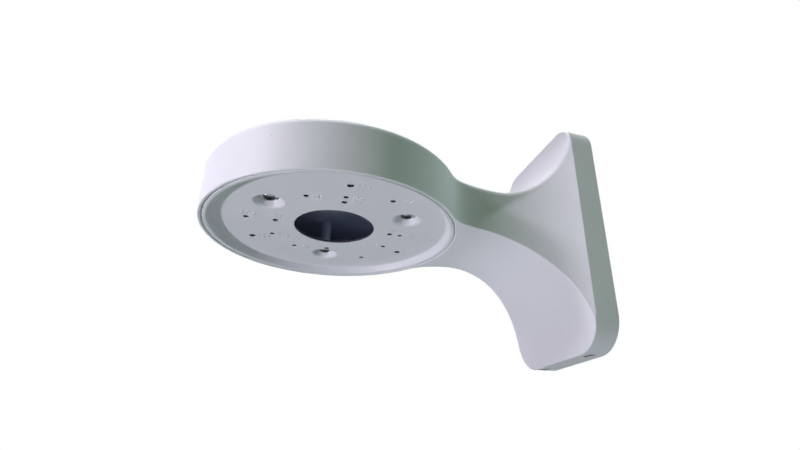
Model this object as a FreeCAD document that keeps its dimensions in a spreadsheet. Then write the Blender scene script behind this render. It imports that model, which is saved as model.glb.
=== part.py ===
import FreeCAD, Part
import math
import os
import Sketcher

# A cast camera bracket that hangs on a wall. X runs along the wall, Y goes into the wall and Z is up.
# The origin is the middle of the base's back face, so the whole bracket lies at negative Y.

SIZES = [
    ("drum_diameter", 156.0),
    ("drum_depth", 32.0),
    ("drum_standoff", 90.0),
    ("drum_wall", 4.5),
    ("upper_round", 5.0),
    ("mouth_drop", 7.3),
    ("lower_round", 0.8),
    ("cast_wall", 3.0),
    ("base_width", 98.0),
    ("base_height", 161.0),
    ("base_depth", 16.5),
    ("base_top_corner", 18.0),
    ("base_bottom_corner", 22.0),
    ("base_edge_round", 1.2),
    ("waist_width", 66.6),
    ("waist_reach", 66.0),
    ("neck_round", 25.0),
    ("top_lip", 3.5),
    ("bottom_lip", 6.0),
    ("seat_edge", 1.1),
    ("seat_width", 2.3),
    ("plate_sheet", 1.5),
    ("plate_gap", 0.35),
    ("plate_flush", 0.3),
    ("plate_flange", 2.5),
    ("plate_slope", 2.7),
    ("plate_recess", 4.5),
    ("plate_bend", 1.5),
    ("plate_edge", 0.4),
    ("cable_hole", 49.0),
    ("dimple_circle", 93.0),
    ("dimple_width", 15.8),
    ("dimple_floor", 9.8),
    ("dimple_depth", 4.6),
    ("dimple_bend", 3.0),
    ("dimple_floor_bend", 0.6),
    ("seal_thick", 1.2),
    ("post_diameter", 7.0),
    ("screw_diameter", 4.0),
    ("screw_bore_play", 0.1),
    ("screw_hole_play", 0.5),
    ("screw_head", 7.4),
    ("screw_head_high", 2.4),
    ("screw_crown", 1.2),
    ("screw_point", 0.6),
    ("cross_length", 4.2),
    ("cross_width", 1.0),
    ("cross_deep", 1.4),
    ("plate_screw_bite", 8.0),
    ("wall_sheet", 2.0),
    ("wall_plate_margin", 3.0),
    ("wall_cable_hole", 40.0),
    ("wall_fixing_x", 60.0),
    ("wall_fixing_z", 110.0),
    ("wall_fixing_hole", 6.0),
    ("hook_spacing", 52.0),
    ("hook_width", 16.0),
    ("hook_height", 60.0),
    ("hook_reach", 7.0),
    ("hook_lip", 6.0),
    ("hang_play", 0.3),
    ("web_width", 20.0),
    ("lock_spacing", 52.0),
    ("lock_setback", 8.2),
    ("lock_recess", 8.2),
    ("lock_recess_deep", 3.0),
    ("lock_boss", 13.0),
    ("lock_boss_high", 3.0),
    ("lock_tab_width", 12.0),
    ("lock_tab_reach", 10.5),
    ("lock_bite", 2.0),
    ("drain_hole", 3.0),
    ("drain_offset", 5.0),
    ("overrun", 2.0),
]

# Bolt circles of the plate: name, diameter, hole diameter, number of holes and angle of the first hole.
BOLT_CIRCLES = [
    ("circle_a", 71.0, 3.4, 4, 0.0),
    ("circle_b", 111.0, 4.0, 3, 0.0),
    ("circle_c", 83.6, 3.0, 3, 0.0),
    ("circle_d", 84.8, 3.0, 3, 90.0),
    ("circle_e", 104.4, 3.2, 3, 30.0),
]
DIMPLE_COUNT = 3
DIMPLE_START = 60.0
SIDES = (("right", 1), ("left", -1))
ALONG_X = FreeCAD.Rotation(FreeCAD.Vector(0, 1, 0), 90)
OUT_OF_WALL = FreeCAD.Rotation(FreeCAD.Vector(1, 0, 0), 90)
TINY = 0.01

doc = FreeCAD.newDocument("camera_wall_bracket")
sheet = doc.addObject("Spreadsheet::Sheet", "sizes")


class Size:
    """A length with its value in millimetres and the expression that works it out from the sheet."""

    def __init__(self, value, text):
        self.value = value
        self.text = text

    def __add__(self, other):
        other = as_size(other)
        return Size(self.value + other.value, "(%s + %s)" % (self.text, other.text))

    def __sub__(self, other):
        other = as_size(other)
        return Size(self.value - other.value, "(%s - %s)" % (self.text, other.text))

    def __mul__(self, other):
        other = as_size(other)
        return Size(self.value * other.value, "(%s * %s)" % (self.text, other.text))

    def __truediv__(self, other):
        other = as_size(other)
        return Size(self.value / other.value, "(%s / %s)" % (self.text, other.text))

    def __neg__(self):
        return Size(-self.value, "(0 - %s)" % self.text)


def as_size(number):
    return number if isinstance(number, Size) else Size(float(number), repr(float(number)))


def root(size):
    return Size(math.sqrt(size.value), "sqrt(%s)" % size.text)


def fill_sheet(rows):
    """Write each size as a plain number with its name as alias, and give the sizes back by name."""
    named = {}
    for row, (name, number) in enumerate(rows, start=1):
        cell = "B%d" % row
        sheet.set("A%d" % row, name)
        sheet.set(cell, str(number))
        sheet.setAlias(cell, name)
        named[name] = Size(number, "sizes." + name)
    doc.recompute()
    return named


circle_rows = [(name, diameter) for name, diameter, _, _, _ in BOLT_CIRCLES]
hole_rows = [(name + "_hole", hole) for name, _, hole, _, _ in BOLT_CIRCLES]
S = fill_sheet(SIZES + circle_rows + hole_rows)

# Heights and places that several pieces share.
overrun = S["overrun"]
drum_radius = S["drum_diameter"] / 2
drum_y = -(S["drum_standoff"] + drum_radius)
mouth = -S["mouth_drop"]
roof = mouth + S["drum_depth"]
ceiling = roof - S["cast_wall"]
base_side = S["base_width"] / 2
base_top = S["base_height"] / 2
base_foot = -base_top
top_sweep = base_top - S["top_lip"] - roof
under_sweep = mouth - base_foot - S["bottom_lip"]
bore_radius = drum_radius - S["drum_wall"]
seat_radius = bore_radius + S["seat_width"]
plate_radius = seat_radius - S["plate_gap"]
flange_low = mouth + S["plate_flush"]
flange_high = flange_low + S["plate_sheet"]
shoulder = flange_high + S["seal_thick"]
dimple_low = flange_low + S["plate_recess"] + S["dimple_depth"]
dimple_high = dimple_low + S["plate_sheet"]
lock_ledge = base_foot + S["lock_recess_deep"]
lock_boss_top = base_foot + S["cast_wall"] + S["lock_boss_high"]
tab_low = lock_boss_top + S["hang_play"]
tab_high = tab_low + S["wall_sheet"]
thread_bore = (S["screw_diameter"] + S["screw_bore_play"]) / 2
clearance_bore = (S["screw_diameter"] + S["screw_hole_play"]) / 2


def bind(thing, prop, size):
    thing.setExpression(prop, as_size(size).text)


def place(thing, point, rotation=None):
    """Put a feature at a point worked out from the sheet, turned by a fixed rotation."""
    thing.Placement = FreeCAD.Placement(FreeCAD.Vector(0, 0, 0), rotation or FreeCAD.Rotation())
    for axis, size in zip("xyz", point):
        bind(thing, "Placement.Base." + axis, size)


def box(body, kind, name, low, high):
    """A box from its lowest corner to its highest one."""
    thing = body.newObject("PartDesign::%sBox" % kind, name)
    place(thing, low)
    for prop, start, end in zip(("Length", "Width", "Height"), low, high):
        bind(thing, prop, as_size(end) - start)
    return thing


def cylinder(body, kind, name, radius, start, length, rotation=None):
    thing = body.newObject("PartDesign::%sCylinder" % kind, name)
    place(thing, start, rotation)
    bind(thing, "Radius", radius)
    bind(thing, "Height", length)
    return thing


def cone(body, kind, name, foot_radius, head_radius, start, length):
    thing = body.newObject("PartDesign::%sCone" % kind, name)
    place(thing, start)
    bind(thing, "Radius1", foot_radius)
    bind(thing, "Radius2", head_radius)
    bind(thing, "Height", length)
    return thing


def origin_item(body, role):
    return next(item for item in body.Origin.OriginFeatures if item.Role == role)


def revolve(body, name, profile):
    """Turn a closed profile of radius and height about the body's own Z axis."""
    sketch = body.newObject("Sketcher::SketchObject", name + "_profile")
    sketch.AttachmentSupport = [(origin_item(body, "XZ_Plane"), "")]
    sketch.MapMode = "FlatFace"
    profile = [(as_size(radius), as_size(height)) for radius, height in profile]
    corners = [FreeCAD.Vector(radius.value, height.value, 0) for radius, height in profile]
    count = len(profile)
    for n in range(count):
        sketch.addGeometry(Part.LineSegment(corners[n], corners[(n + 1) % count]), False)
    for n in range(count):
        sketch.addConstraint(Sketcher.Constraint("Coincident", n, 2, (n + 1) % count, 1))
    for n, (radius, height) in enumerate(profile):
        for direction, size, axis in (("DistanceX", radius, -2), ("DistanceY", height, -1)):
            if size.value == 0:
                sketch.addConstraint(Sketcher.Constraint("PointOnObject", n, 1, axis))
                continue
            placed = sketch.addConstraint(Sketcher.Constraint(direction, -1, 1, n, 1, size.value))
            label = "%s_%d" % ("radius" if direction == "DistanceX" else "height", n)
            sketch.renameConstraint(placed, label)
            bind(sketch, "Constraints." + label, size)
    doc.recompute()
    turning = body.newObject("PartDesign::Revolution", name)
    turning.Profile = sketch
    turning.ReferenceAxis = (sketch, ["V_Axis"])
    turning.Angle = 360
    return turning


def repeat(body, name, features, count):
    """Repeat features evenly round the body's own Z axis."""
    doc.recompute()
    pattern = body.newObject("PartDesign::PolarPattern", name)
    pattern.Originals = features
    pattern.Axis = (origin_item(body, "Z_Axis"), [""])
    pattern.Angle = 360
    pattern.Occurrences = count
    body.Tip = pattern
    return pattern


def round_edges(body, name, wanted, radius):
    """Round the edges of the body's last feature that the test picks, and those that run on from them."""
    doc.recompute()
    base = body.Tip
    names = ["Edge%d" % n for n, edge in enumerate(base.Shape.Edges, start=1) if wanted(edge)]
    if not names:
        raise RuntimeError("no edge found for " + name)
    fillet = body.newObject("PartDesign::Fillet", name)
    fillet.Base = (base, names)
    bind(fillet, "Radius", radius)
    return fillet


def near(number, size, slack=TINY):
    return abs(number - as_size(size).value) < slack


def is_circle(edge, radius, level=None):
    """True for a flat round edge of this radius, at this height if one is given."""
    if not isinstance(edge.Curve, Part.Circle) or not near(edge.Curve.Radius, radius):
        return False
    return level is None or near(edge.Curve.Center.z, level)


def is_upright(edge):
    return edge.BoundBox.XLength < TINY and edge.BoundBox.YLength < TINY


def goes_into_wall(edge):
    return edge.BoundBox.XLength < TINY and edge.BoundBox.ZLength < TINY


def spoke(angle, radius):
    """The X and Y of a point on a circle round the origin."""
    across = round(math.cos(math.radians(angle)), 12)
    along = round(math.sin(math.radians(angle)), 12)
    return radius * across, radius * along


def post_places():
    """Where the plate's three screws stand, under the drum."""
    places = []
    for n in range(DIMPLE_COUNT):
        x, y = spoke(DIMPLE_START + n * 360.0 / DIMPLE_COUNT, S["dimple_circle"] / 2)
        places.append((x, drum_y + y))
    return places


def lock_places():
    return [((S["lock_spacing"] / 2) * sign, -S["lock_setback"]) for _, sign in SIDES]


def arm_and_base(name, inset):
    """The outer form of arm and base, or with an inset the hollow that lies inside their walls."""
    body = doc.addObject("PartDesign::Body", name)
    inset = as_size(inset)
    back = overrun if inset.value else as_size(0)
    side = base_side - inset
    low = (-side, drum_y, base_foot + inset)
    box(body, "Additive", name + "_block", low, (side, back, base_top - inset))
    for label, sign, radius in (("top", 1, S["base_top_corner"]), ("bottom", -1, S["base_bottom_corner"])):
        corner = lambda edge, sign=sign: goes_into_wall(edge) and edge.BoundBox.ZMax * sign > 0
        round_edges(body, "%s_%s_corners" % (name, label), corner, radius - inset)

    waist = S["waist_width"] / 2
    flare_run = S["waist_reach"] - S["base_depth"]
    flare_rise = base_side - waist
    flare = (flare_run * flare_run + flare_rise * flare_rise) / (flare_rise * 2)
    tall = S["base_height"] + overrun * 2
    for label, sign in SIDES:
        start = ((waist + flare) * sign, -S["waist_reach"], base_foot - overrun)
        cylinder(body, "Subtractive", "%s_flank_%s" % (name, label), flare + inset, start, tall)

    half = base_side + overrun
    far = drum_y - drum_radius
    face = -S["base_depth"] + inset
    top_y = -(S["base_depth"] + top_sweep)
    top_z = roof + top_sweep
    above = top_z + base_top
    top = (-half, top_y, top_z)
    cylinder(body, "Subtractive", name + "_top_sweep", top_sweep + inset, top, half * 2, ALONG_X)
    box(body, "Subtractive", name + "_over_arm", (-half, far, roof - inset), (half, top_y, above))
    box(body, "Subtractive", name + "_over_sweep", (-half, far, top_z), (half, face, above))
    under_y = -(S["base_depth"] + under_sweep)
    under_z = mouth - under_sweep
    below = under_z - base_top
    under = (-half, under_y, under_z)
    cylinder(body, "Subtractive", name + "_under_sweep", under_sweep + inset, under, half * 2, ALONG_X)
    box(body, "Subtractive", name + "_under_arm", (-half, far, below), (half, under_y, mouth + inset))
    box(body, "Subtractive", name + "_below_sweep", (-half, far, below), (half, face, under_z))
    return body


def bracket_hollow():
    """The space inside the casting: drum, seat for the plate, arm and base, open to the wall."""
    body = arm_and_base("hollow", S["cast_wall"])
    start = (0, drum_y, mouth - overrun)
    cylinder(body, "Additive", "drum_bore", bore_radius, start, ceiling - start[2])
    cylinder(body, "Additive", "plate_seat", seat_radius, start, shoulder - start[2])
    return body


def bracket_body():
    """The casting: drum, waisted arm and base, hollow all through, with its posts, webs and bosses."""
    body = arm_and_base("bracket_body", 0)
    cylinder(body, "Additive", "drum", drum_radius, (0, drum_y, mouth), S["drum_depth"])
    waist_y = -S["waist_reach"].value
    neck = lambda edge: is_upright(edge) and edge.BoundBox.YMax < waist_y
    roof_edge = lambda edge: is_circle(edge, drum_radius, roof)
    base_edge = lambda edge: is_upright(edge) and near(edge.BoundBox.YMin, -S["base_depth"])
    mouth_edge = lambda edge: is_circle(edge, drum_radius, mouth)
    round_edges(body, "neck_rounds", neck, S["neck_round"])
    round_edges(body, "upper_rounds", roof_edge, S["upper_round"])
    round_edges(body, "base_edge_rounds", base_edge, S["base_edge_round"])
    round_edges(body, "lower_rounds", mouth_edge, S["lower_round"])

    hollow = bracket_hollow()
    doc.recompute()
    cut = body.newObject("PartDesign::Boolean", "hollowed")
    cut.Type = "Cut"
    cut.setObjects([hollow])
    body.Tip = cut
    round_edges(body, "seat_edge_round", lambda edge: is_circle(edge, seat_radius, mouth), S["seat_edge"])

    post_long = ceiling + S["cast_wall"] / 2 - dimple_high
    bore_long = S["plate_screw_bite"] + overrun
    for n, (x, y) in enumerate(post_places(), start=1):
        foot = (x, y, dimple_high)
        cylinder(body, "Additive", "post_%d" % n, S["post_diameter"] / 2, foot, post_long)
        cylinder(body, "Subtractive", "post_bore_%d" % n, thread_bore, foot, bore_long)

    half_web = S["web_width"] / 2
    for label, sign in SIDES:
        middle = (S["hook_spacing"] / 2) * sign
        low = (middle - half_web, S["hang_play"] - S["hook_reach"], S["hook_height"] + S["wall_sheet"])
        high = (middle + half_web, -(S["wall_sheet"] + S["hang_play"]), base_top - S["cast_wall"] / 2)
        box(body, "Additive", "hanging_web_" + label, low, high)

    for n, (x, y) in enumerate(lock_places(), start=1):
        inside = (x, y, base_foot + S["cast_wall"] / 2)
        outside = (x, y, base_foot - overrun)
        cylinder(body, "Additive", "lock_boss_%d" % n, S["lock_boss"] / 2, inside, lock_boss_top - inside[2])
        recess_long = lock_ledge - outside[2]
        cylinder(body, "Subtractive", "lock_recess_%d" % n, S["lock_recess"] / 2, outside, recess_long)
        hole_long = tab_low - outside[2]
        cylinder(body, "Subtractive", "lock_hole_%d" % n, clearance_bore, outside, hole_long)

    drain = (-S["drain_offset"], -S["lock_setback"], base_foot - overrun)
    cylinder(body, "Subtractive", "drain", S["drain_hole"] / 2, drain, S["cast_wall"] + overrun * 2)
    return body


def adapter_plate():
    """A pressed sheet: flange, slope, recessed floor with a cable hole, dimples and the bolt circles."""
    body = doc.addObject("PartDesign::Body", "adapter_plate")
    place(body, (0, drum_y, flange_low))
    thick = S["plate_sheet"]
    recess = S["plate_recess"]
    slope_foot = plate_radius - S["plate_flange"]
    slope_head = slope_foot - S["plate_slope"]
    slant = root(recess * recess + S["plate_slope"] * S["plate_slope"])
    shift = thick * ((slant - S["plate_slope"]) / recess)
    hole = S["cable_hole"] / 2
    profile = [
        (hole, recess),
        (slope_head, recess),
        (slope_foot, 0),
        (plate_radius, 0),
        (plate_radius, thick),
        (slope_foot - shift, thick),
        (slope_head - shift, recess + thick),
        (hole, recess + thick),
    ]
    revolve(body, "pressing", profile)
    bends = (slope_foot, slope_head, slope_foot - shift, slope_head - shift)
    is_bend = lambda edge: any(is_circle(edge, radius) for radius in bends)
    round_edges(body, "slope_bends", is_bend, S["plate_bend"])
    round_edges(body, "plate_edge_round", lambda edge: is_circle(edge, plate_radius, 0), S["plate_edge"])

    wide = S["dimple_width"] / 2
    narrow = S["dimple_floor"] / 2
    deep = S["dimple_depth"]
    x, y = spoke(DIMPLE_START, S["dimple_circle"] / 2)
    top = (x, y, recess + thick)
    outside = cone(body, "Additive", "dimple_outside", wide, narrow + thick, top, deep)
    inside = cone(body, "Subtractive", "dimple_inside", wide, narrow, (x, y, recess), deep)
    drilled = cylinder(body, "Subtractive", "dimple_hole", clearance_bore, (x, y, recess), deep + thick * 2)
    repeat(body, "dimples", [outside, inside, drilled], DIMPLE_COUNT)
    floor = lambda edge: is_circle(edge, narrow)
    round_edges(body, "dimple_floors", floor, S["dimple_floor_bend"])
    mouths = lambda edge: is_circle(edge, wide)
    round_edges(body, "dimple_mouths", mouths, S["dimple_bend"])

    for name, _, _, count, start in BOLT_CIRCLES:
        x, y = spoke(start, S[name] / 2)
        foot = (x, y, recess - overrun)
        radius = S[name + "_hole"] / 2
        first = cylinder(body, "Subtractive", name + "_first", radius, foot, thick + overrun * 2)
        repeat(body, name + "_holes", [first], count)
    return body


def plate_seal():
    """The rubber ring between the plate's flange and the shoulder in the drum."""
    body = doc.addObject("PartDesign::Body", "plate_seal")
    start = (0, drum_y, flange_high)
    cylinder(body, "Additive", "seal_ring", plate_radius, start, S["seal_thick"])
    cylinder(body, "Subtractive", "seal_hole", bore_radius + S["plate_gap"], start, S["seal_thick"])
    return body


def screw(name, x, y, under_head, length):
    """A pan head screw that points up, with a cross recess in its head."""
    body = doc.addObject("PartDesign::Body", name)
    head = S["screw_head"] / 2
    head_high = S["screw_head_high"]
    shank = S["screw_diameter"] / 2
    tip = head_high + length
    place(body, (x, y, under_head - head_high))
    profile = [
        (0, 0),
        (head, 0),
        (head, head_high),
        (shank, head_high),
        (shank, tip - S["screw_point"]),
        (shank - S["screw_point"], tip),
        (0, tip),
    ]
    revolve(body, name + "_turning", profile)
    round_edges(body, name + "_crown", lambda edge: is_circle(edge, head, 0), S["screw_crown"])
    half_long = S["cross_length"] / 2
    half_wide = S["cross_width"] / 2
    for label, x_half, y_half in (("along", half_long, half_wide), ("across", half_wide, half_long)):
        low = (-x_half, -y_half, -overrun)
        box(body, "Subtractive", "%s_cross_%s" % (name, label), low, (x_half, y_half, S["cross_deep"]))
    return body


def screw_set(label, places, under_head, length):
    """Identical screws as one group of separate solids."""
    bodies = []
    for n, (x, y) in enumerate(places, start=1):
        bodies.append(screw("%s_%d" % (label, n), x, y, under_head, length))
    group = doc.addObject("Part::Compound", label)
    group.Links = bodies
    return group


def wall_plate():
    """The sheet that is screwed to the wall: two hooks carry the casting, two tabs take the lock screws."""
    body = doc.addObject("PartDesign::Body", "wall_plate")
    front = -S["wall_sheet"]
    margin = S["cast_wall"] + S["wall_plate_margin"]
    side = base_side - margin
    box(body, "Additive", "wall_blank", (-side, front, tab_low), (side, 0, base_top - margin))
    for label, sign, radius in (("top", 1, S["base_top_corner"]), ("bottom", -1, S["base_bottom_corner"])):
        corner = lambda edge, sign=sign: goes_into_wall(edge) and edge.BoundBox.ZMax * sign > 0
        round_edges(body, "wall_%s_corners" % label, corner, radius - margin)

    half_hook = S["hook_width"] / 2
    half_tab = S["lock_tab_width"] / 2
    hook_tip = front - S["hook_reach"]
    hook_low = S["hook_height"]
    arm_high = hook_low + S["wall_sheet"]
    lip_back = hook_tip + S["wall_sheet"]
    lip_high = arm_high + S["hook_lip"]
    tab_tip = front - S["lock_tab_reach"]
    for label, sign in SIDES:
        middle = (S["hook_spacing"] / 2) * sign
        low = (middle - half_hook, hook_tip, hook_low)
        box(body, "Additive", "hook_arm_" + label, low, (middle + half_hook, front, arm_high))
        box(body, "Additive", "hook_lip_" + label, low, (middle + half_hook, lip_back, lip_high))
        middle = (S["lock_spacing"] / 2) * sign
        low = (middle - half_tab, tab_tip, tab_low)
        box(body, "Additive", "lock_tab_" + label, low, (middle + half_tab, front, tab_high))

    for n, (x, y) in enumerate(lock_places(), start=1):
        start = (x, y, tab_low - overrun)
        long = S["wall_sheet"] + overrun * 2
        cylinder(body, "Subtractive", "lock_thread_%d" % n, thread_bore, start, long)
    through = S["wall_sheet"] + overrun * 2
    behind = (0, overrun, 0)
    cylinder(body, "Subtractive", "cable_way", S["wall_cable_hole"] / 2, behind, through, OUT_OF_WALL)
    for label, sign in SIDES:
        for level, up in (("high", 1), ("low", -1)):
            start = ((S["wall_fixing_x"] / 2) * sign, overrun, (S["wall_fixing_z"] / 2) * up)
            name = "wall_fixing_%s_%s" % (label, level)
            cylinder(body, "Subtractive", name, S["wall_fixing_hole"] / 2, start, through, OUT_OF_WALL)
    return body


def check(things):
    """Stop with a plain message if any feature failed or any sub-part has no sound shape."""
    for thing in doc.Objects:
        if "Invalid" in thing.State or "Error" in thing.State:
            raise RuntimeError("feature failed: " + thing.Name)
    for thing in things:
        if thing.Shape.isNull() or not thing.Shape.isValid():
            raise RuntimeError("no sound shape: " + thing.Label)


nodes = [
    bracket_body(),
    adapter_plate(),
    plate_seal(),
    screw_set("plate_screws", post_places(), dimple_low, S["plate_sheet"] + S["plate_screw_bite"]),
    wall_plate(),
    screw_set("lock_screws", lock_places(), lock_ledge, tab_high - lock_ledge + S["lock_bite"]),
]
doc.recompute()
check(nodes)
os.makedirs("parts", exist_ok=True)
for node in nodes:
    node.Shape.exportStep("parts/%s.step" % node.Label)
    print(node.Label, len(node.Shape.Solids), "solids", round(node.Shape.Volume), "mm3")
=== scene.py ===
import math
import bpy
from mathutils import Matrix, Vector


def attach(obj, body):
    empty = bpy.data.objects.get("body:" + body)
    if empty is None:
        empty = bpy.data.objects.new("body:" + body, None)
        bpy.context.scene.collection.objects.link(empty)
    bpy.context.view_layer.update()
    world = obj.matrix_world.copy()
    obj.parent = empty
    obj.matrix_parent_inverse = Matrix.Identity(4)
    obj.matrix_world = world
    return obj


# A cast camera bracket, seen from below. X runs along the wall, Y goes into it and Z is up, in metres.
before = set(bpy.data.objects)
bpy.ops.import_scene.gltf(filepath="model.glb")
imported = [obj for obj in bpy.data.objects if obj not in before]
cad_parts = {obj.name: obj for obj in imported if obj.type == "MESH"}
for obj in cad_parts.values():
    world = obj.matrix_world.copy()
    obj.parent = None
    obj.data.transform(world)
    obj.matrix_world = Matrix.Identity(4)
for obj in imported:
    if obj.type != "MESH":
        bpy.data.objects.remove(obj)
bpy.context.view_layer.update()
scene = bpy.context.scene

MM = 0.001
DRUM_Y = -168 * MM
DRUM_BORE = 74.5 * MM
DRUM_MOUTH = -7.3 * MM
DRUM_CEILING = 21.7 * MM
PLATE_FACE = -2.5 * MM
WHITE = (1.0, 1.0, 1.0, 1.0)

# The camera stands where the photograph was taken from.
CAMERA_PLACE = (0.29507, -0.20436, -0.13901)
CAMERA_AHEAD = (-0.8521, 0.3291, 0.4069)
CAMERA_UP = (0.3887, -0.1226, 0.9132)


def link(thing):
    scene.collection.objects.link(thing)
    return thing


lens = bpy.data.cameras.new("camera")
lens.lens = 22.798
lens.shift_x = -0.06224
lens.shift_y = 0.01411
lens.clip_start = 0.01
camera = link(bpy.data.objects.new("camera", lens))
ahead = Vector(CAMERA_AHEAD).normalized()
right = ahead.cross(Vector(CAMERA_UP)).normalized()
above = right.cross(ahead)
turn = Matrix((right, above, -ahead)).transposed().to_4x4()
camera.matrix_world = Matrix.Translation(CAMERA_PLACE) @ turn
scene.camera = camera


class Nodes:
    """The node tree of a material or the world, with short ways to add nodes and join them."""

    def __init__(self, owner):
        owner.use_nodes = True
        self.owner = owner
        self.tree = owner.node_tree

    def add(self, kind, **values):
        """A new node. A value goes to the node's setting of that name, or else to its socket."""
        node = self.tree.nodes.new("ShaderNode" + kind)
        for key, value in values.items():
            if key in node.bl_rna.properties:
                setattr(node, key, value)
            else:
                node.inputs[key.replace("_", " ")].default_value = value
        return node

    def join(self, start, end):
        self.tree.links.new(start, end)

    def place(self):
        return self.add("TexCoord").outputs["Object"]

    def parts(self, vector):
        """The X, Y and Z of a vector."""
        node = self.add("SeparateXYZ")
        self.join(vector, node.inputs["Vector"])
        return node.outputs

    def noise(self, scale, detail=2.0):
        node = self.add("TexNoise", Scale=scale, Detail=detail, Roughness=0.5)
        self.join(self.place(), node.inputs["Vector"])
        return node.outputs["Fac"]

    def spread(self, value, low, high, start=0.0, end=1.0):
        """Turn a value between low and high into one between start and end."""
        node = self.add("MapRange", From_Min=low, From_Max=high, To_Min=start, To_Max=end)
        self.join(value, node.inputs["Value"])
        return node.outputs["Result"]

    def clouds(self, scale, detail=2.0, start=0.0, end=1.0):
        """Noise whose middle range runs from start to end."""
        return self.spread(self.noise(scale, detail), 0.3, 0.7, start, end)

    def math(self, operation, first, second=None):
        node = self.add("Math", operation=operation)
        for socket, value in zip(node.inputs, (first, second)):
            if value is None:
                continue
            if isinstance(value, (int, float)):
                socket.default_value = value
            else:
                self.join(value, socket)
        return node.outputs["Value"]

    def mix(self, amount, first, second):
        """A blend of two colours."""
        node = self.add("Mix", data_type="RGBA", blend_type="MIX")
        for socket, value in ((node.inputs[0], amount), (node.inputs[6], first), (node.inputs[7], second)):
            if isinstance(value, tuple):
                socket.default_value = value + (1.0,)
            else:
                self.join(value, socket)
        return node.outputs[2]

    def bump(self, height, depth, strength, under=None):
        node = self.add("Bump", Strength=strength, Distance=depth)
        self.join(height, node.inputs["Height"])
        if under is not None:
            self.join(under, node.inputs["Normal"])
        return node.outputs["Normal"]

    def shade(self, **sockets):
        """Join each value to the material's shader."""
        shader = self.tree.nodes["Principled BSDF"]
        for key, value in sockets.items():
            socket = shader.inputs[key.replace("_", " ")]
            if isinstance(value, (int, float, tuple)):
                socket.default_value = value
            else:
                self.join(value, socket)


def drum_hollow_shade(nodes):
    """One inside the drum's bore above the plate, where the colour turns to painted shade, and nothing
    elsewhere.
    """
    place = nodes.parts(nodes.place())
    along = nodes.math("SUBTRACT", place["Y"], DRUM_Y)
    along_square = nodes.math("MULTIPLY", along, along)
    across_square = nodes.math("MULTIPLY", place["X"], place["X"])
    radius = nodes.math("SQRT", nodes.math("ADD", along_square, across_square))
    bore = nodes.math("LESS_THAN", radius, DRUM_BORE)
    deep = nodes.math("GREATER_THAN", place["Z"], DRUM_MOUTH + 3.0 * MM)
    low = nodes.math("LESS_THAN", place["Z"], DRUM_CEILING + 0.5 * MM)
    return nodes.math("MULTIPLY", nodes.math("MULTIPLY", bore, deep), low)


def plate_hole_shade(nodes):
    """One on the walls of the plate's holes and cut edges, which get a near-black painted shade."""
    place = nodes.parts(nodes.place())
    facing = nodes.parts(nodes.add("TexCoord").outputs["Normal"])
    upright = nodes.math("LESS_THAN", nodes.math("ABSOLUTE", facing["Z"]), 0.3)
    deep = nodes.math("GREATER_THAN", place["Z"], PLATE_FACE + 0.3 * MM)
    return nodes.math("MULTIPLY", upright, deep)


LIGHT_PAINT = (0.79, 0.79, 0.84)
SHADE_PAINT = (0.76, 0.765, 0.815)
DUST = (0.30, 0.30, 0.33)


def powder_coat(name, shade_mask, shade_pale, shade_deep):
    """Satin powder coat with orange peel, faint clouds and dust specks, and a darker painted shade where the
    shade mask is one.
    """
    nodes = Nodes(bpy.data.materials.new(name))
    clouds = nodes.clouds(28.0, 3.0)
    paint = nodes.mix(clouds, LIGHT_PAINT, SHADE_PAINT)
    specks = nodes.spread(nodes.noise(420.0, 1.0), 0.79, 0.82)
    paint = nodes.mix(nodes.math("MULTIPLY", specks, 0.35), paint, DUST)
    # Painted shade: a darker, bluer colour that stands in for the dimness of hollows and hole walls.
    painted_shade = nodes.mix(clouds, shade_pale, shade_deep)
    grain = nodes.clouds(2600.0, 1.0, -0.025, 0.025)
    rough = nodes.clouds(160.0, 3.0, 0.38, 0.48)
    peel = nodes.bump(nodes.noise(950.0), 0.03 * MM, 0.5)
    nodes.shade(
        Base_Color=nodes.mix(shade_mask(nodes), paint, painted_shade),
        Roughness=nodes.math("ADD", rough, grain),
        Normal=nodes.bump(nodes.noise(45.0), 0.2 * MM, 0.15, under=peel),
        Specular_IOR_Level=0.35,
    )
    return nodes.owner


def steel(name, light, dark, rough, scale, stretch, relief):
    """Plated steel with fine drawn lines and cloudy plating."""
    nodes = Nodes(bpy.data.materials.new(name))
    mapping = nodes.add("Mapping", Scale=stretch)
    nodes.join(nodes.place(), mapping.inputs["Vector"])
    lines = nodes.add("TexNoise", Scale=scale, Detail=3.0)
    nodes.join(mapping.outputs["Vector"], lines.inputs["Vector"])
    line = lines.outputs["Fac"]
    nodes.shade(
        Base_Color=nodes.mix(nodes.clouds(180.0), light, dark),
        Roughness=nodes.spread(line, 0.3, 0.7, *rough),
        Normal=nodes.bump(line, 0.02 * MM, relief),
        Metallic=1.0,
    )
    return nodes.owner


def rubber(name, dark, light):
    nodes = Nodes(bpy.data.materials.new(name))
    nodes.shade(
        Base_Color=nodes.mix(nodes.clouds(300.0, 3.0), dark, light),
        Roughness=nodes.clouds(900.0, start=0.6, end=0.8),
        Normal=nodes.bump(nodes.noise(1500.0), 0.03 * MM, 0.5),
    )
    return nodes.owner


# Inside the drum's bore the cast body gets painted shade, a darker, bluer colour for the unlit hollow.
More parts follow.
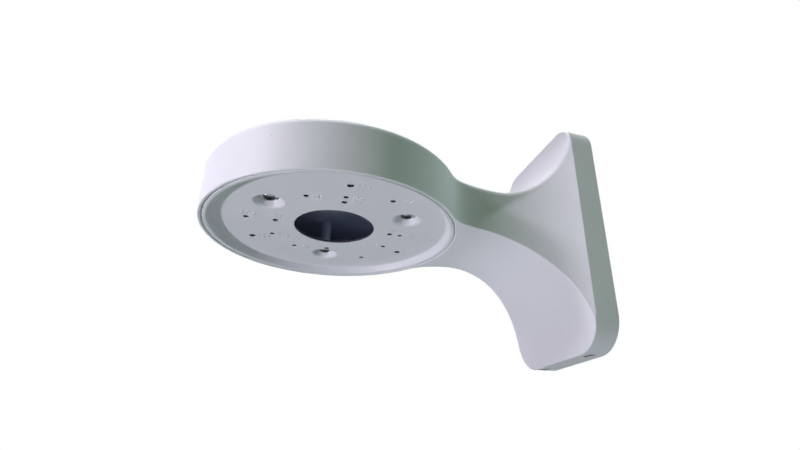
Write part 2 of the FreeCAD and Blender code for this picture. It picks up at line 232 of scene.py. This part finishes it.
paint_cast = powder_coat("paint_cast", drum_hollow_shade, (0.62, 0.66, 0.80), (0.52, 0.56, 0.70))
# The walls of the plate's holes get a near-black painted shade.
paint_plate = powder_coat("paint_plate", plate_hole_shade, (0.09, 0.09, 0.12), (0.06, 0.06, 0.08))
screw_steel = steel("screw_steel", (0.46, 0.46, 0.50), (0.34, 0.34, 0.37),
                    rough=(0.20, 0.38), scale=900.0, stretch=(1.0, 1.0, 4.0), relief=0.4)
zinc = steel("zinc", (0.50, 0.51, 0.53), (0.41, 0.42, 0.45),
             rough=(0.36, 0.50), scale=900.0, stretch=(4.0, 1.0, 1.0), relief=0.15)
FINISHES = {
    "bracket_body": paint_cast,
    "adapter_plate": paint_plate,
    "plate_screws": screw_steel,
    "lock_screws": screw_steel,
    "plate_seal": rubber("seal_rubber", (0.018, 0.018, 0.020), (0.035, 0.035, 0.038)),
    "wall_plate": zinc,
}
for node_name, material in FINISHES.items():
    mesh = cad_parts[node_name].data
    mesh.materials.clear()
    mesh.materials.append(material)

# Small raised numbers stand beside the plate's holes: the size of each hole's circle, in millimetres.
# Each row has the number, the circle's radius, and the angles of the holes whose number stands beside, before
# or above them.
STAMPS = [
    ("71", 35.5 * MM, {"beside": (0.0,), "above": (-90.0, 90.0)}),
    ("84", 41.8 * MM, {"beside": (0.0, -120.0), "before": (120.0,)}),
    ("85", 42.4 * MM, {"beside": (-30.0, 90.0, -150.0)}),
    ("104", 52.2 * MM, {"beside": (30.0, 150.0), "above": (-90.0,)}),
    ("111", 55.5 * MM, {"beside": (0.0, -120.0, 120.0)}),
]
STEPS = {"beside": (0.6 * MM, 7.0 * MM), "before": (0.4 * MM, -5.5 * MM), "above": (5.3 * MM, 1.0 * MM)}
LONE_STAMP = ("2", 0.5 * MM, 64.0 * MM)
FIGURE_SIZE = 6.4 * MM
FIGURE_RISE = 0.12 * MM
FIGURE_ROUND = 0.10 * MM


def stamp(name, words, x, along):
    """Raised figures on the plate's lower face that read along Y with their tops towards X."""
    curve = bpy.data.curves.new(name, "FONT")
    curve.body = words
    curve.size = FIGURE_SIZE
    curve.extrude = FIGURE_RISE
    curve.bevel_depth = FIGURE_ROUND
    curve.bevel_resolution = 1
    curve.space_character = 0.95
    curve.align_x = "CENTER"
    curve.align_y = "CENTER"
    shape = link(bpy.data.objects.new(name + "_curve", curve))
    bpy.context.view_layer.update()
    mesh = bpy.data.meshes.new_from_object(shape.evaluated_get(bpy.context.evaluated_depsgraph_get()))
    bpy.data.objects.remove(shape)
    mesh.name = name
    mesh.materials.clear()
    mesh.materials.append(paint_plate)
    mesh.transform(Matrix(((0, 1, 0, x), (1, 0, 0, DRUM_Y + along), (0, 0, -1, PLATE_FACE), (0, 0, 0, 1))))
    piece = link(bpy.data.objects.new(name, mesh))
    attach(piece, "root")


for number, radius, places in STAMPS:
    for step, angles in places.items():
        off_x, off_y = STEPS[step]
        for angle in angles:
            turned = math.radians(angle)
            name = "stamp_%s_at_%d" % (number, angle % 360)
            stamp(name, number, radius * math.cos(turned) + off_x, radius * math.sin(turned) + off_y)
stamp("stamp_plate", *LONE_STAMP)

# Soft round lamps: name, degrees round from the front towards +X, degrees up, distance, width, colour, watts.
LAMPS = [
    ("key", 16.0, -26.0, 1.2, 0.10, (0.94, 0.88, 1.0), 0.86),
    ("upper", 17.0, 20.0, 1.2, 0.18, (0.96, 0.92, 1.0), 0.47),
    ("high", 0.0, 50.0, 1.2, 0.70, (0.94, 0.91, 1.0), 0.54),
    ("side", 116.0, 13.0, 1.2, 0.70, (0.56, 1.0, 0.54), 0.20),
    ("below", 0.0, -89.0, 0.6, 0.60, (0.70, 0.95, 0.84), 0.165),
    ("top", 0.0, 85.0, 1.2, 0.70, (0.91, 0.90, 1.0), 0.95),
    ("back", 171.0, 5.0, 1.2, 0.20, (0.68, 0.93, 0.90), 0.28),
    ("left", -90.0, 20.0, 1.2, 0.70, (0.92, 0.92, 1.0), 0.52),
]
LAMP_SPREAD = math.radians(60)
LAMPS_AIM = Vector((0.0, -0.12, -0.02))
for lamp_name, around, up, distance, width, colour, power in LAMPS:
    lamp = bpy.data.lights.new(lamp_name, "AREA")
    lamp.shape = "DISK"
    lamp.size = width
    lamp.spread = LAMP_SPREAD
    lamp.color = colour
    lamp.energy = power
    turned, raised = math.radians(around), math.radians(up)
    level = math.cos(raised)
    way = Vector((math.sin(turned) * level, -math.cos(turned) * level, math.sin(raised)))
    stand = link(bpy.data.objects.new(lamp_name, lamp))
    stand.location = LAMPS_AIM + way * distance
    stand.rotation_euler = way.to_track_quat("Z", "Y").to_euler()
    stand.visible_camera = False

# The room gives a soft colour from each of its six sides. What looks past the bracket sees plain white.
ROOM = {
    "+X": (0.00, 0.02, 0.00),
    "-X": (0.12, 0.12, 0.12),
    "+Y": (0.00, 0.02, 0.00),
    "-Y": (0.02, 0.02, 0.02),
    "+Z": (0.01, 0.01, 0.01),
    "-Z": (0.10, 0.10, 0.10),
}
scene.world = bpy.data.worlds.new("room")
room = Nodes(scene.world)
room.tree.nodes.clear()
ways = room.parts(room.add("TexCoord").outputs["Generated"])
total = None
for side, colour in ROOM.items():
    reach = room.math("MULTIPLY", ways[side[1]], 1.0 if side[0] == "+" else -1.0)
    reach = room.math("MAXIMUM", reach, 0.0)
    share = room.add("VectorMath", operation="SCALE")
    share.inputs[0].default_value = colour
    room.join(room.math("MULTIPLY", reach, reach), share.inputs["Scale"])
    if total is None:
        total = share.outputs[0]
        continue
    adding = room.add("VectorMath", operation="ADD")
    room.join(total, adding.inputs[0])
    room.join(share.outputs[0], adding.inputs[1])
    total = adding.outputs[0]
soft = room.add("Background")
room.join(total, soft.inputs["Color"])
plain = room.add("Background", Color=WHITE)
ray = room.add("LightPath").outputs
seen = room.math("MAXIMUM", ray["Is Camera Ray"], ray["Is Glossy Ray"])
seen = room.math("MAXIMUM", seen, ray["Is Transmission Ray"])
choice = room.add("MixShader")
room.join(seen, choice.inputs["Fac"])
room.join(soft.outputs[0], choice.inputs[1])
room.join(plain.outputs[0], choice.inputs[2])
room.join(choice.outputs[0], room.add("OutputWorld").inputs["Surface"])

# A plain pale floor well below the bracket. Its glow is for the camera alone and lights nothing.
FLOOR_LEVEL = -0.80
FLOOR_REACH = 4.0
FLOOR_GLOW = 0.62
floor_mesh = bpy.data.meshes.new("floor")
corners = [(x * FLOOR_REACH, y * FLOOR_REACH, FLOOR_LEVEL) for x, y in ((-1, -1), (1, -1), (1, 1), (-1, 1))]
floor_mesh.from_pydata(corners, [], [(0, 1, 2, 3)])
floor_nodes = Nodes(bpy.data.materials.new("floor"))
camera_ray = floor_nodes.add("LightPath").outputs["Is Camera Ray"]
floor_nodes.shade(
    Base_Color=floor_nodes.mix(floor_nodes.noise(3.0), (0.80, 0.80, 0.81), (0.84, 0.84, 0.85)),
    Roughness=0.8,
    Emission_Color=WHITE,
    Emission_Strength=floor_nodes.math("MULTIPLY", camera_ray, FLOOR_GLOW),
)
floor_mesh.materials.append(floor_nodes.owner)
link(bpy.data.objects.new("floor", floor_mesh))

scene.view_settings.view_transform = "Standard"
